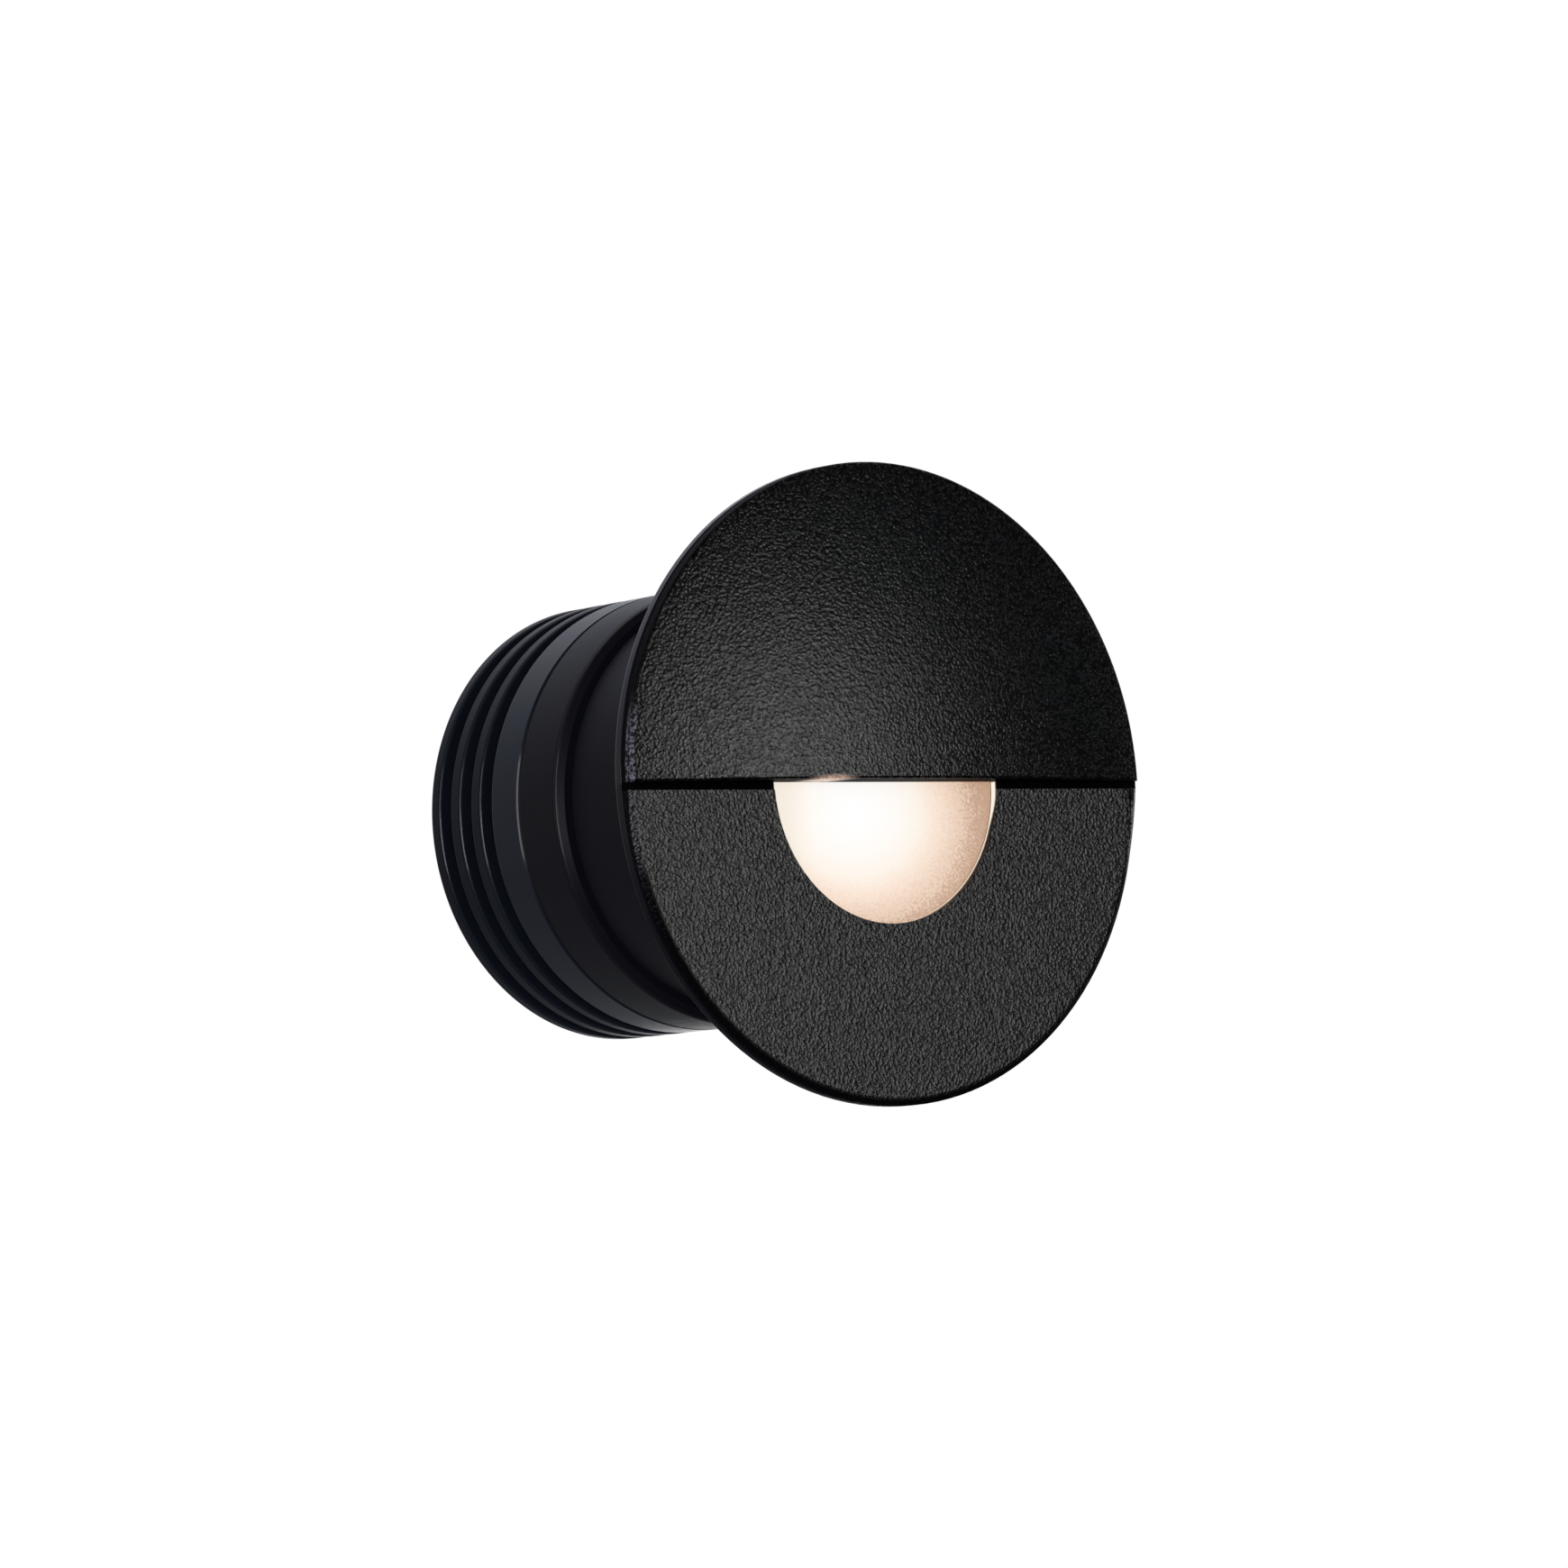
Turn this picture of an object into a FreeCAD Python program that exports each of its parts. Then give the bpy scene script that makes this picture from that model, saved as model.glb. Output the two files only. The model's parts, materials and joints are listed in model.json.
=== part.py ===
"""Recessed wall light: hooded cover, sealed lens, LED engine and finned barrel.

The origin is the centre of the flange's rear face, which lies on the wall.
Y runs into the wall, -Y out of it, and Z is up. Sizes are in millimetres.
"""
import FreeCAD
import Part
import math
import os

V = FreeCAD.Vector

# Overall sizes
flange_r = 30.0
flange_thickness = 0.95
barrel_r = 21.0
barrel_length = 42.2
overrun = 1.0
merge_gap = 0.0001

# Walls of the barrel, from the outside in
collar_step_height = 1.2
housing_wall = 2.4
front_bore_wall = 2.45
seal_seat_width = 3.35
rear_spigot_wall = 1.6

# Flange front: a shallow recess that centres the cover
flange_rim_width = 1.6
flange_recess_depth = 0.3
flange_rear_round = 0.25
flange_front_round = 0.12

# Front cover: plate, hood, shadow slot and window
lower_face_height = 0.8
hood_step = 0.55
register_clearance = 0.1
edge_bevel_width = 0.5
edge_land = 0.12
parting_gap = 0.3
parting_depth = 0.7
hood_dome_height = 3.3
hood_edge_round = 0.25
window_overlap = 0.13
window_lip = 0.75
slot_top = 0.12
slot_height = 0.69
slot_rim_width = 0.9
slot_rim_depth = 0.1
hood_wall = 0.7
inner_plate_thickness = 2.35
spigot_wall = 1.85
spigot_chamfer = 0.3
spigot_end_gap = 0.4
o_ring_groove_width = 1.5
o_ring_groove_depth = 0.95
o_ring_land = 0.7
o_ring_gap = 0.03

# Front bore and lens
front_bore_chamfer = 0.4
spigot_clearance = 0.1
lens_gap = 0.05
lens_step_width = 2.0
plateau_clearance = 0.25
cup_clearance = 0.2
lens_thickness = 1.6
lens_wall = 1.3
lens_shoulder_gap = 0.3
lens_edge_round = 0.3
lens_cup_length = 4.3
lens_flange_thickness = 1.6
lens_flange_clearance = 0.2
lens_shelf_thickness = 1.4

# Ring that clamps the lens, and the seal behind the lens
lens_ring_thickness = 1.8
lens_ring_bore_clearance = 0.15
lens_ring_thread_clearance = 0.05
lens_ring_notches = 4
lens_ring_notch_width = 2.2
lens_ring_notch_depth = 0.8
lens_seal_thickness = 1.2
lens_seal_width = 2.7

# LED chamber, inner wall and board; the shares are of the board's radius
chamber_depth = 1.8
web_thickness = 2.5
led_board_margin = 1.5
led_board_thickness = 1.6
thermal_pad_thickness = 0.3
thermal_pad_margin = 0.5
board_notch_depth = 2.5
board_notch_margin = 1.0
led_screw_place_share = 0.83
emitter_count = 3
emitter_circle_share = 0.208
emitter_length_share = 0.28
emitter_width_share = 0.224
emitter_window_share = 0.088
emitter_height = 0.75
emitter_window_height = 0.12

# Reflector; the shares are of the LED board's radius
reflector_throat_share = 0.44
reflector_bulge_share = 0.04
reflector_mouth_inset = 0.5
reflector_wall = 0.8
reflector_lip_clearance = 0.4
reflector_lip_thickness = 0.7
reflector_gap = 0.05

# Screws: shank, pan head and cross recess; recess shares are of the head's radius
screw_shank_share = 0.06
screw_head_share = 0.116
screw_hole_clearance = 0.02
screw_clear_hole_clearance = 0.17
screw_head_height = 1.25
screw_head_round = 0.45
screw_recess_width_share = 0.24
screw_recess_length_share = 1.1
screw_recess_depth = 0.6
led_screw_reach = 1.9
screw_hole_margin = 0.3

# Leads from the LED board to the driver board, and their grommet
lead_r = 0.5
lead_spacing = 2.6
lead_start_share = 0.664
lead_bend_r = 1.1
lead_inset = 1.3
lead_hole_clearance = 0.05
grommet_wall = 0.5
grommet_flange_width = 0.8
grommet_flange_thickness = 0.8
grommet_round = 0.25

# Rear chamber and driver board; the shares are of the board's radius
chamber_corner_round = 0.8
pillar_count = 3
pillar_share = 0.14
pillar_circle_share = 0.854
pillar_height = 4.7
pillar_start_angle = 30.0
driver_screw_reach = 3.6
driver_board_margin = 1.0
driver_board_thickness = 1.6

# Parts on the driver board: places and plan sizes are shares of its radius
capacitor_share = 0.244
capacitor_place_shares = (-0.488, -0.195)
capacitor_height = 9.5
capacitor_bead_depth = 0.35
capacitor_bead_place = 1.6
capacitor_round = 0.4
choke_side_share = 0.451
choke_place_shares = (0.378, -0.39)
choke_height = 4.6
choke_round_share = 0.079
choke_edge_round = 0.3
rectifier_shares = (0.28, 0.238)
rectifier_place_shares = (0.463, 0.055)
rectifier_height = 1.6
chip_shares = (0.268, 0.22)
chip_place_shares = (-0.47, 0.244)
chip_height = 1.5
package_foot_share = 0.043
package_foot_width_share = 0.037
package_foot_thickness = 0.25
package_chamfer = 0.2
package_foot_pairs = 2
terminal_poles = 2
terminal_pitch_share = 0.305
terminal_depth_share = 0.463
terminal_place_share = 0.524
terminal_chamfer = 1.0
terminal_well_share = 0.107
terminal_well_depth = 3.2
terminal_well_floor = 1.2
terminal_entry_width_share = 0.177
terminal_entry_depth_share = 0.28
terminal_entry_height = 3.0
terminal_entry_base = 1.2
terminal_screw_clearance = 0.15
terminal_screw_height = 2.0
terminal_slot_width = 0.5
terminal_slot_depth = 0.7

# Joint between both halves of the barrel
joint_chamfer = 0.3
collar_length = 5.75
collar_round = 0.5
collar_step = 1.0
neck_fillet = 0.5
thread_length = 5.45
thread_clearance = 0.1
thread_end_gap = 0.4
thread_entry_chamfer = 0.3
body_groove_inset = 1.25
body_groove_width = 1.1
body_groove_depth = 0.9
body_ring_gap = 0.02

# Finned rear part
groove_count = 3
rear_band_length = 4.5
groove_width = 1.7
fin_pitch = 3.35
rear_fin_width = 1.55
fin_height = 2.2
groove_floor_round = 0.3
fin_edge_round = 0.35
rear_edge_round = 0.4
rear_wall = 2.5
rear_bore_round = 1.0

# Cable gland, from the cable outwards
cable_bore_r = 2.5
gland_seal_wall = 1.7
gland_seal_clearance = 0.1
gland_seal_end_gap = 0.1
gland_neck_wall = 0.7
gland_thread_step = 0.6
gland_thread_clearance = 0.05
gland_thread_reach = 3.6
gland_hex_wall = 1.5
gland_hex_height = 3.0
gland_hex_chamfer = 0.5
gland_bore_clearance = 0.9
gland_washer_thickness = 0.6
gland_washer_width = 1.2
gland_neck_length = 4.4
gland_seat_depth = 3.4
gland_seat_taper = 0.8
gland_nut_wall = 1.04
gland_nut_length = 6.6
gland_nut_gap = 0.5
gland_nut_clearance = 0.06
gland_nut_end_wall = 1.2
gland_nut_dome_round = 2.4
gland_nut_flat_chamfer = 0.4
gland_mouth_clearance = 0.6
gland_edge_round = 0.2

# Radii of the barrel and its bores
neck_r = barrel_r - collar_step_height
thread_r = barrel_r - housing_wall
rear_chamber_r = neck_r - housing_wall
front_bore_r = neck_r - front_bore_wall
chamber_r = front_bore_r - seal_seat_width
rear_spigot_r = thread_r - thread_clearance
rear_bore_r = rear_spigot_r - rear_spigot_wall
groove_floor_r = barrel_r - fin_height
body_groove_r = barrel_r - body_groove_inset

# Radii of the cover, the lens and the reflector
recess_r = flange_r - flange_rim_width
register_r = recess_r - register_clearance
spigot_r = front_bore_r - spigot_clearance
spigot_inner_r = spigot_r - spigot_wall
o_ring_floor_r = spigot_r - o_ring_groove_depth
lens_cup_r = spigot_inner_r - cup_clearance
lens_plateau_r = lens_cup_r - lens_step_width
lens_plateau_bore_r = lens_plateau_r - lens_wall
lens_bore_r = lens_cup_r - lens_wall
lens_flange_r = front_bore_r - lens_flange_clearance
pocket_r = lens_plateau_r + plateau_clearance
window_r = lens_plateau_r - window_overlap
led_board_r = chamber_r - led_board_margin
reflector_throat_r = led_board_r * reflector_throat_share
reflector_mouth_r = lens_plateau_bore_r - reflector_mouth_inset
reflector_lip_r = lens_bore_r - reflector_lip_clearance

# Sizes on both boards
led_screw_place_r = led_board_r * led_screw_place_share
lead_start_z = led_board_r * lead_start_share
lead_z = led_board_r - lead_inset
board_notch_z = led_board_r - board_notch_depth
lead_reach = lead_spacing / 2 + lead_r
board_notch_width = 2 * (lead_reach + board_notch_margin)
grommet_r = lead_reach + grommet_wall
grommet_flange_r = grommet_r + grommet_flange_width
driver_board_r = rear_chamber_r - driver_board_margin
pillar_r = driver_board_r * pillar_share
pillar_circle_r = driver_board_r * pillar_circle_share
screw_shank_r = driver_board_r * screw_shank_share
screw_head_r = driver_board_r * screw_head_share
screw_hole_r = screw_shank_r + screw_hole_clearance
screw_clear_hole_r = screw_shank_r + screw_clear_hole_clearance
terminal_pitch = driver_board_r * terminal_pitch_share
terminal_depth = driver_board_r * terminal_depth_share
terminal_z = driver_board_r * terminal_place_share
terminal_well_r = driver_board_r * terminal_well_share
terminal_height = terminal_entry_base + terminal_entry_height + terminal_well_floor + terminal_well_depth

# Radii of the gland
gland_seal_r = cable_bore_r + gland_seal_wall
gland_seat_r = gland_seal_r + gland_seal_clearance
gland_neck_r = gland_seat_r + gland_seat_taper / 2 + gland_neck_wall
gland_thread_r = gland_neck_r + gland_thread_step
gland_bore_r = cable_bore_r + gland_bore_clearance
gland_washer_r = gland_thread_r + gland_washer_width
gland_across_flats = 2 * (gland_thread_r + gland_hex_wall)
gland_nut_bore_r = gland_neck_r + gland_nut_clearance
gland_nut_across_flats = 2 * (gland_nut_bore_r + gland_nut_wall)
gland_mouth_r = cable_bore_r + gland_mouth_clearance

# Places along the axis that several pieces share
flange_front_y = -flange_thickness
recess_floor_y = flange_front_y + flange_recess_depth
lower_face_y = flange_front_y - lower_face_height
hood_rim_y = lower_face_y - hood_step
hood_apex_y = hood_rim_y - hood_dome_height
hood_dome_r = (flange_r ** 2 + hood_dome_height ** 2) / (2 * hood_dome_height)
gap_front_y = flange_front_y - parting_gap
inner_plate_y = lower_face_y + inner_plate_thickness
pocket_floor_y = lower_face_y + window_lip
lens_front_y = pocket_floor_y + lens_gap
lens_shoulder_y = inner_plate_y + lens_shoulder_gap
lens_shelf_y = lens_shoulder_y + lens_shelf_thickness
lens_flange_y = lens_shoulder_y + lens_cup_length
lens_ring_y = lens_flange_y - lens_ring_thickness
lens_rear_y = lens_flange_y + lens_flange_thickness
spigot_end_y = lens_ring_y - spigot_end_gap
o_ring_y = spigot_end_y - o_ring_land - o_ring_groove_width / 2
shoulder_y = lens_rear_y + lens_seal_thickness
web_front_y = shoulder_y + chamber_depth
web_rear_y = web_front_y + web_thickness
led_board_rear_y = web_front_y - thermal_pad_thickness
led_board_front_y = led_board_rear_y - led_board_thickness
grommet_end_y = web_rear_y + grommet_flange_thickness
driver_front_y = web_rear_y + pillar_height
driver_rear_y = driver_front_y + driver_board_thickness
first_groove_y = barrel_length - rear_fin_width - groove_width - (groove_count - 1) * fin_pitch
joint_y = first_groove_y - rear_band_length
collar_y = joint_y - collar_length
thread_start_y = joint_y - thread_length
rear_inner_y = barrel_length - rear_wall
hex_front_y = barrel_length + gland_washer_thickness
hex_rear_y = hex_front_y + gland_hex_height
gland_neck_y = hex_rear_y + gland_neck_length
nut_front_y = hex_rear_y + gland_nut_gap
nut_rear_y = nut_front_y + gland_nut_length


def outline(corners):
    """Closed wire through (x, y, rounding) corners, with tangent arcs where a rounding is given."""
    spans = []
    count = len(corners)
    for index, (x, y, rounding) in enumerate(corners):
        here = V(x, y, 0)
        if rounding == 0:
            spans.append((here, None, here))
            continue
        before = V(*corners[index - 1][:2], 0) - here
        after = V(*corners[(index + 1) % count][:2], 0) - here
        before.normalize()
        after.normalize()
        half = before.getAngle(after) / 2
        bisector = (before + after).normalize()
        reach = rounding / math.tan(half)
        middle = here + bisector * (rounding / math.sin(half) - rounding)
        spans.append((here + before * reach, middle, here + after * reach))
    edges = []
    for index, (start, middle, end) in enumerate(spans):
        if middle is not None:
            edges.append(Part.Arc(start, middle, end).toShape())
        following = spans[(index + 1) % count][0]
        if (following - end).Length > merge_gap:
            edges.append(Part.LineSegment(end, following).toShape())
    return Part.Wire(Part.__sortEdges__(edges))


def turned(corners):
    """Solid turned about the Y axis from (radius, y, rounding) corners."""
    face = Part.Face(outline(corners))
    return face.revolve(V(0, 0, 0), V(0, 1, 0), 360)


def disc(radius, front, rear, x=0, z=0):
    """Cylinder along Y between two depths."""
    return Part.makeCylinder(radius, rear - front, V(x, front, z), V(0, 1, 0))


def block(width, front, rear, bottom, top, x=0):
    """Box centred on x, between two depths and two heights."""
    return Part.makeBox(width, rear - front, top - bottom, V(x - width / 2, front, bottom))


def hexagon(across_flats, front, rear):
    """Hexagonal prism along Y with two flats upright."""
    corner_r = across_flats / 2 / math.cos(math.radians(30))
    points = []
    for index in range(7):
        angle = math.radians(30 + 60 * index)
        points.append(V(corner_r * math.cos(angle), front, corner_r * math.sin(angle)))
    return Part.Face(Part.makePolygon(points)).extrude(V(0, rear - front, 0))


def around(count, radius, start_angle=0):
    """Places (x, z) spread evenly on a circle about the Y axis."""
    places = []
    for index in range(count):
        angle = math.radians(start_angle + 360 * index / count)
        places.append((radius * math.cos(angle), radius * math.sin(angle)))
    return places


def fused(shapes):
    """One solid from touching shapes, without the seams between them."""
    return shapes[0].multiFuse(shapes[1:]).removeSplitter()


def cut(shape, tools):
    """Shape less its tools."""
    return shape.cut(Part.makeCompound(tools))


def screw(x, z, head_y, reach, toward):
    """Pan-head screw with a cross recess; toward is the sense of its shank along Y."""
    cross_r = screw_head_r * screw_recess_length_share / 2
    cross_half = screw_head_r * screw_recess_width_share / 2
    body = turned([
        (0, 0, 0),
        (0, -screw_head_height, 0),
        (screw_head_r, -screw_head_height, screw_head_round),
        (screw_head_r, 0, 0),
        (screw_shank_r, 0, 0),
        (screw_shank_r, reach, 0),
        (0, reach, 0),
    ])
    floor = screw_recess_depth - screw_head_height
    top = -screw_head_height - overrun
    cross = [
        block(2 * cross_r, top, floor, -cross_half, cross_half),
        block(2 * cross_half, top, floor, -cross_r, cross_r),
    ]
    body = cut(body, cross)
    if toward < 0:
        body.rotate(V(0, 0, 0), V(0, 0, 1), 180)
    body.translate(V(x, head_y, z))
    return body


def hood():
    """Upper half of a shallow dome, rounded along its rim and along its level lip."""
    span = flange_r + overrun
    front_y = hood_apex_y - overrun
    ball = Part.makeSphere(hood_dome_r, V(0, hood_apex_y + hood_dome_r, 0))
    body = disc(flange_r, front_y, gap_front_y).common(ball)
    body = body.common(block(2 * span, front_y, overrun, slot_top, span))
    front = min(body.Faces, key=lambda face: face.CenterOfMass.y)
    return body.makeFillet(hood_edge_round, front.Edges)


def front_cover():
    """Plate with the hood, the shadow slot, the half-moon window and the spigot."""
    bevel_y = gap_front_y - edge_land
    gap_floor_r = flange_r - parting_depth
    plate = turned([
        (0, lower_face_y, 0),
        (flange_r - edge_bevel_width, lower_face_y, 0),
        (flange_r, bevel_y, 0),
        (flange_r, gap_front_y, 0),
        (gap_floor_r, gap_front_y, 0),
        (gap_floor_r, flange_front_y, 0),
        (register_r, flange_front_y, 0),
        (register_r, recess_floor_y, 0),
        (spigot_r, recess_floor_y, 0),
        (spigot_r, spigot_end_y - spigot_chamfer, 0),
        (spigot_r - spigot_chamfer, spigot_end_y, 0),
        (spigot_inner_r, spigot_end_y, 0),
        (spigot_inner_r, inner_plate_y, 0),
        (pocket_r, inner_plate_y, 0),
        (pocket_r, pocket_floor_y, 0),
        (0, pocket_floor_y, 0),
    ])
    span = flange_r + overrun
    hood_pocket = disc(pocket_r, hood_rim_y + hood_wall, lower_face_y + window_lip)
    hood_pocket = hood_pocket.common(block(2 * span, hood_rim_y, overrun, slot_top, span))
    slot = block(2 * span, hood_apex_y - overrun, flange_front_y, slot_top - slot_height, slot_top)
    slot = slot.cut(disc(window_r + slot_rim_width, lower_face_y + slot_rim_depth, overrun))
    window = disc(window_r, lower_face_y - overrun, pocket_floor_y + overrun)
    window = window.common(block(2 * span, lower_face_y - overrun, overrun, -span, slot_top))
    groove_front_y = o_ring_y - o_ring_groove_width / 2
    groove_rear_y = o_ring_y + o_ring_groove_width / 2
    groove = disc(spigot_r + overrun, groove_front_y, groove_rear_y).cut(
        disc(o_ring_floor_r, groove_front_y - overrun, groove_rear_y + overrun))
    body = fused([plate, hood()])
    return cut(body, [hood_pocket, slot, window, groove])


def cover_o_ring():
    """Ring in the spigot's groove that holds the cover in the front bore."""
    tube_r = (front_bore_r - o_ring_floor_r) / 2 - o_ring_gap
    centre_r = (front_bore_r + o_ring_floor_r) / 2
    return Part.makeTorus(centre_r, tube_r, V(0, o_ring_y, 0), V(0, 1, 0))


def front_housing():
    """Flange, neck and collar, with the lens seat and the wall that carries the boards."""
    body = turned([
        (flange_r, 0, flange_rear_round),
        (flange_r, flange_front_y, flange_front_round),
        (recess_r, flange_front_y, 0),
        (recess_r, recess_floor_y, 0),
        (front_bore_r + front_bore_chamfer, recess_floor_y, 0),
        (front_bore_r, recess_floor_y + front_bore_chamfer, 0),
        (front_bore_r, shoulder_y, 0),
        (chamber_r, shoulder_y, 0),
        (chamber_r, web_front_y, 0),
        (0, web_front_y, 0),
        (0, web_rear_y, 0),
        (rear_chamber_r, web_rear_y, chamber_corner_round),
        (rear_chamber_r, thread_start_y, 0),
        (thread_r, thread_start_y, 0),
        (thread_r, joint_y - thread_entry_chamfer, 0),
        (thread_r + thread_entry_chamfer, joint_y, 0),
        (barrel_r - joint_chamfer, joint_y, 0),
        (barrel_r, joint_y - joint_chamfer, 0),
        (barrel_r, collar_y, collar_round),
        (neck_r, collar_y - collar_step, collar_round),
        (neck_r, 0, neck_fillet),
    ])
    pillars = []
    holes = []
    for x, z in around(pillar_count, pillar_circle_r, pillar_start_angle):
        pillars.append(disc(pillar_r, web_rear_y, driver_front_y, x, z))
        hole_y = driver_front_y - driver_screw_reach - screw_hole_margin
        holes.append(disc(screw_hole_r, hole_y, driver_front_y + overrun, x, z))
    for x in (-led_screw_place_r, led_screw_place_r):
        hole_y = web_front_y + led_screw_reach + screw_hole_margin
        holes.append(disc(screw_hole_r, web_front_y - overrun, hole_y, x))
    holes.append(disc(grommet_r, web_front_y - overrun, web_rear_y + overrun, z=lead_z))
    return cut(fused([body] + pillars), holes)


def diffuser_lens():
    """Frosted cup whose plateau fills the window and whose flange is clamped on the seal."""
    return turned([
        (0, lens_front_y, 0),
        (lens_plateau_r, lens_front_y, lens_edge_round),
        (lens_plateau_r, lens_shoulder_y, 0),
        (lens_cup_r, lens_shoulder_y, lens_edge_round),
        (lens_cup_r, lens_flange_y, 0),
        (lens_flange_r, lens_flange_y, 0),
        (lens_flange_r, lens_rear_y, 0),
        (lens_bore_r, lens_rear_y, 0),
        (lens_bore_r, lens_shelf_y, 0),
        (lens_plateau_bore_r, lens_shelf_y, 0),
        (lens_plateau_bore_r, lens_front_y + lens_thickness, lens_edge_round),
        (0, lens_front_y + lens_thickness, 0),
    ])


def lens_seal():
    """Flat silicone ring between the lens flange and the housing's shoulder."""
    outer = disc(lens_flange_r, lens_rear_y, shoulder_y)
    inner = disc(lens_flange_r - lens_seal_width, lens_rear_y - overrun, shoulder_y + overrun)
    return outer.cut(inner)


def lens_ring():
    """Threaded ring that presses the lens on its seal, with notches for a pin spanner."""
    outer_r = front_bore_r - lens_ring_thread_clearance
    inner_r = lens_cup_r + lens_ring_bore_clearance
    ring = disc(outer_r, lens_ring_y, lens_flange_y)
    ring = ring.cut(disc(inner_r, lens_ring_y - overrun, lens_flange_y + overrun))
    notches = []
    for index in range(lens_ring_notches):
        notch = block(lens_ring_notch_width, lens_ring_y - overrun, lens_ring_y + lens_ring_notch_depth,
                      (inner_r + outer_r) / 2, outer_r + overrun)
        notch.rotate(V(0, 0, 0), V(0, 1, 0), 360 * index / lens_ring_notches)
        notches.append(notch)
    return cut(ring, notches)


def reflector():
    """White cup from the emitters to the shelf inside the lens, with a bulged wall."""
    front_y = lens_shelf_y + reflector_gap
    lip_y = front_y + reflector_lip_thickness
    throat = V(reflector_throat_r, led_board_front_y, 0)
    mouth = V(reflector_mouth_r, front_y, 0)
    along = (mouth - throat).normalize()
    outward = V(-along.y, along.x, 0) * -1
    bulge = outward * (led_board_r * reflector_bulge_share)
    middle = (throat + mouth) / 2 + bulge
    outer_throat = V(reflector_throat_r + reflector_wall, led_board_front_y, 0)
    outer_mouth = V(reflector_mouth_r + reflector_wall, lip_y, 0)
    outer_middle = (outer_throat + outer_mouth) / 2 + bulge
    lip_outer = V(reflector_lip_r, lip_y, 0)
    lip_front = V(reflector_lip_r, front_y, 0)
    wire = Part.Wire([
        Part.Arc(throat, middle, mouth).toShape(),
        Part.LineSegment(mouth, lip_front).toShape(),
        Part.LineSegment(lip_front, lip_outer).toShape(),
        Part.LineSegment(lip_outer, outer_mouth).toShape(),
        Part.Arc(outer_mouth, outer_middle, outer_throat).toShape(),
        Part.LineSegment(outer_throat, throat).toShape(),
    ])
    return Part.Face(wire).revolve(V(0, 0, 0), V(0, 1, 0), 360)


def notched_disc(radius, front, rear):
    """Board outline: a disc with the lead notch at its top and two screw holes."""
    tools = [block(board_notch_width, front - overrun, rear + overrun, board_notch_z, radius + overrun)]
    for x in (-led_screw_place_r, led_screw_place_r):
        tools.append(disc(screw_clear_hole_r, front - overrun, rear + overrun, x))
    return cut(disc(radius, front, rear), tools)


def led_emitters():
    """Surface-mounted emitters around the centre, each with its round light window."""
    emitters = []
    face_y = led_board_front_y - emitter_height
    circle_r = led_board_r * emitter_circle_share
    half_length = led_board_r * emitter_length_share / 2
    width = led_board_r * emitter_width_share
    light_r = led_board_r * emitter_window_share
    for index in range(emitter_count):
        body = block(width, face_y, led_board_front_y, circle_r - half_length, circle_r + half_length)
        window = disc(light_r, face_y - emitter_window_height, face_y, z=circle_r)
        emitter = fused([body, window])
        emitter.rotate(V(0, 0, 0), V(0, 1, 0), 360 * index / emitter_count)
        emitters.append(emitter)
    return Part.makeCompound(emitters)


def led_board_screws():
    """Two screws that hold the LED board on the inner wall."""
    reach = led_board_thickness + thermal_pad_thickness + led_screw_reach
    places = (-led_screw_place_r, led_screw_place_r)
    return Part.makeCompound([screw(x, 0, led_board_front_y, reach, 1) for x in places])


def lead(x):
    """Insulated lead from the LED board's front, through the grommet, to the driver board."""
    run_y = led_board_front_y - lead_r
    start = V(x, run_y, lead_start_z)
    bend_start = V(x, run_y, lead_z - lead_bend_r)
    bend_end = V(x, run_y + lead_bend_r, lead_z)
    slant = lead_bend_r * math.sin(math.radians(45))
    bend_middle = V(x, run_y + lead_bend_r - slant, lead_z - lead_bend_r + slant)
    end = V(x, driver_front_y, lead_z)
    path = Part.Wire([
        Part.LineSegment(start, bend_start).toShape(),
        Part.Arc(bend_start, bend_middle, bend_end).toShape(),
        Part.LineSegment(bend_end, end).toShape(),
    ])
    section = Part.Wire([Part.makeCircle(lead_r, start, V(0, 0, 1))])
    return path.makePipeShell([section], True, False)


def lead_grommet():
    """Rubber grommet in the inner wall with one hole for each lead."""
    body = turned([
        (0, web_front_y, 0),
        (grommet_r, web_front_y, grommet_round),
        (grommet_r, web_rear_y, 0),
        (grommet_flange_r, web_rear_y, 0),
        (grommet_flange_r, grommet_end_y, grommet_round),
        (0, grommet_end_y, 0),
    ])
    body.translate(V(0, 0, lead_z))
    holes = []
    for x in (-lead_spacing / 2, lead_spacing / 2):
        hole_r = lead_r + lead_hole_clearance
        holes.append(disc(hole_r, web_front_y - overrun, grommet_end_y + overrun, x, lead_z))
    return cut(body, holes)


def driver_board():
    """Round board behind the inner wall, on three pillars."""
    places = around(pillar_count, pillar_circle_r, pillar_start_angle)
    holes = [disc(screw_clear_hole_r, driver_front_y - overrun, driver_rear_y + overrun, x, z)
             for x, z in places]
    return cut(disc(driver_board_r, driver_front_y, driver_rear_y), holes)


def driver_board_screws():
    """Screws through the driver board into its pillars."""
    reach = driver_board_thickness + driver_screw_reach
    places = around(pillar_count, pillar_circle_r, pillar_start_angle)
    return Part.makeCompound([screw(x, z, driver_rear_y, reach, -1) for x, z in places])


def on_driver_board(shares):
    """Lengths on the driver board from shares of its radius."""
    return [driver_board_r * share for share in shares]


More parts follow.
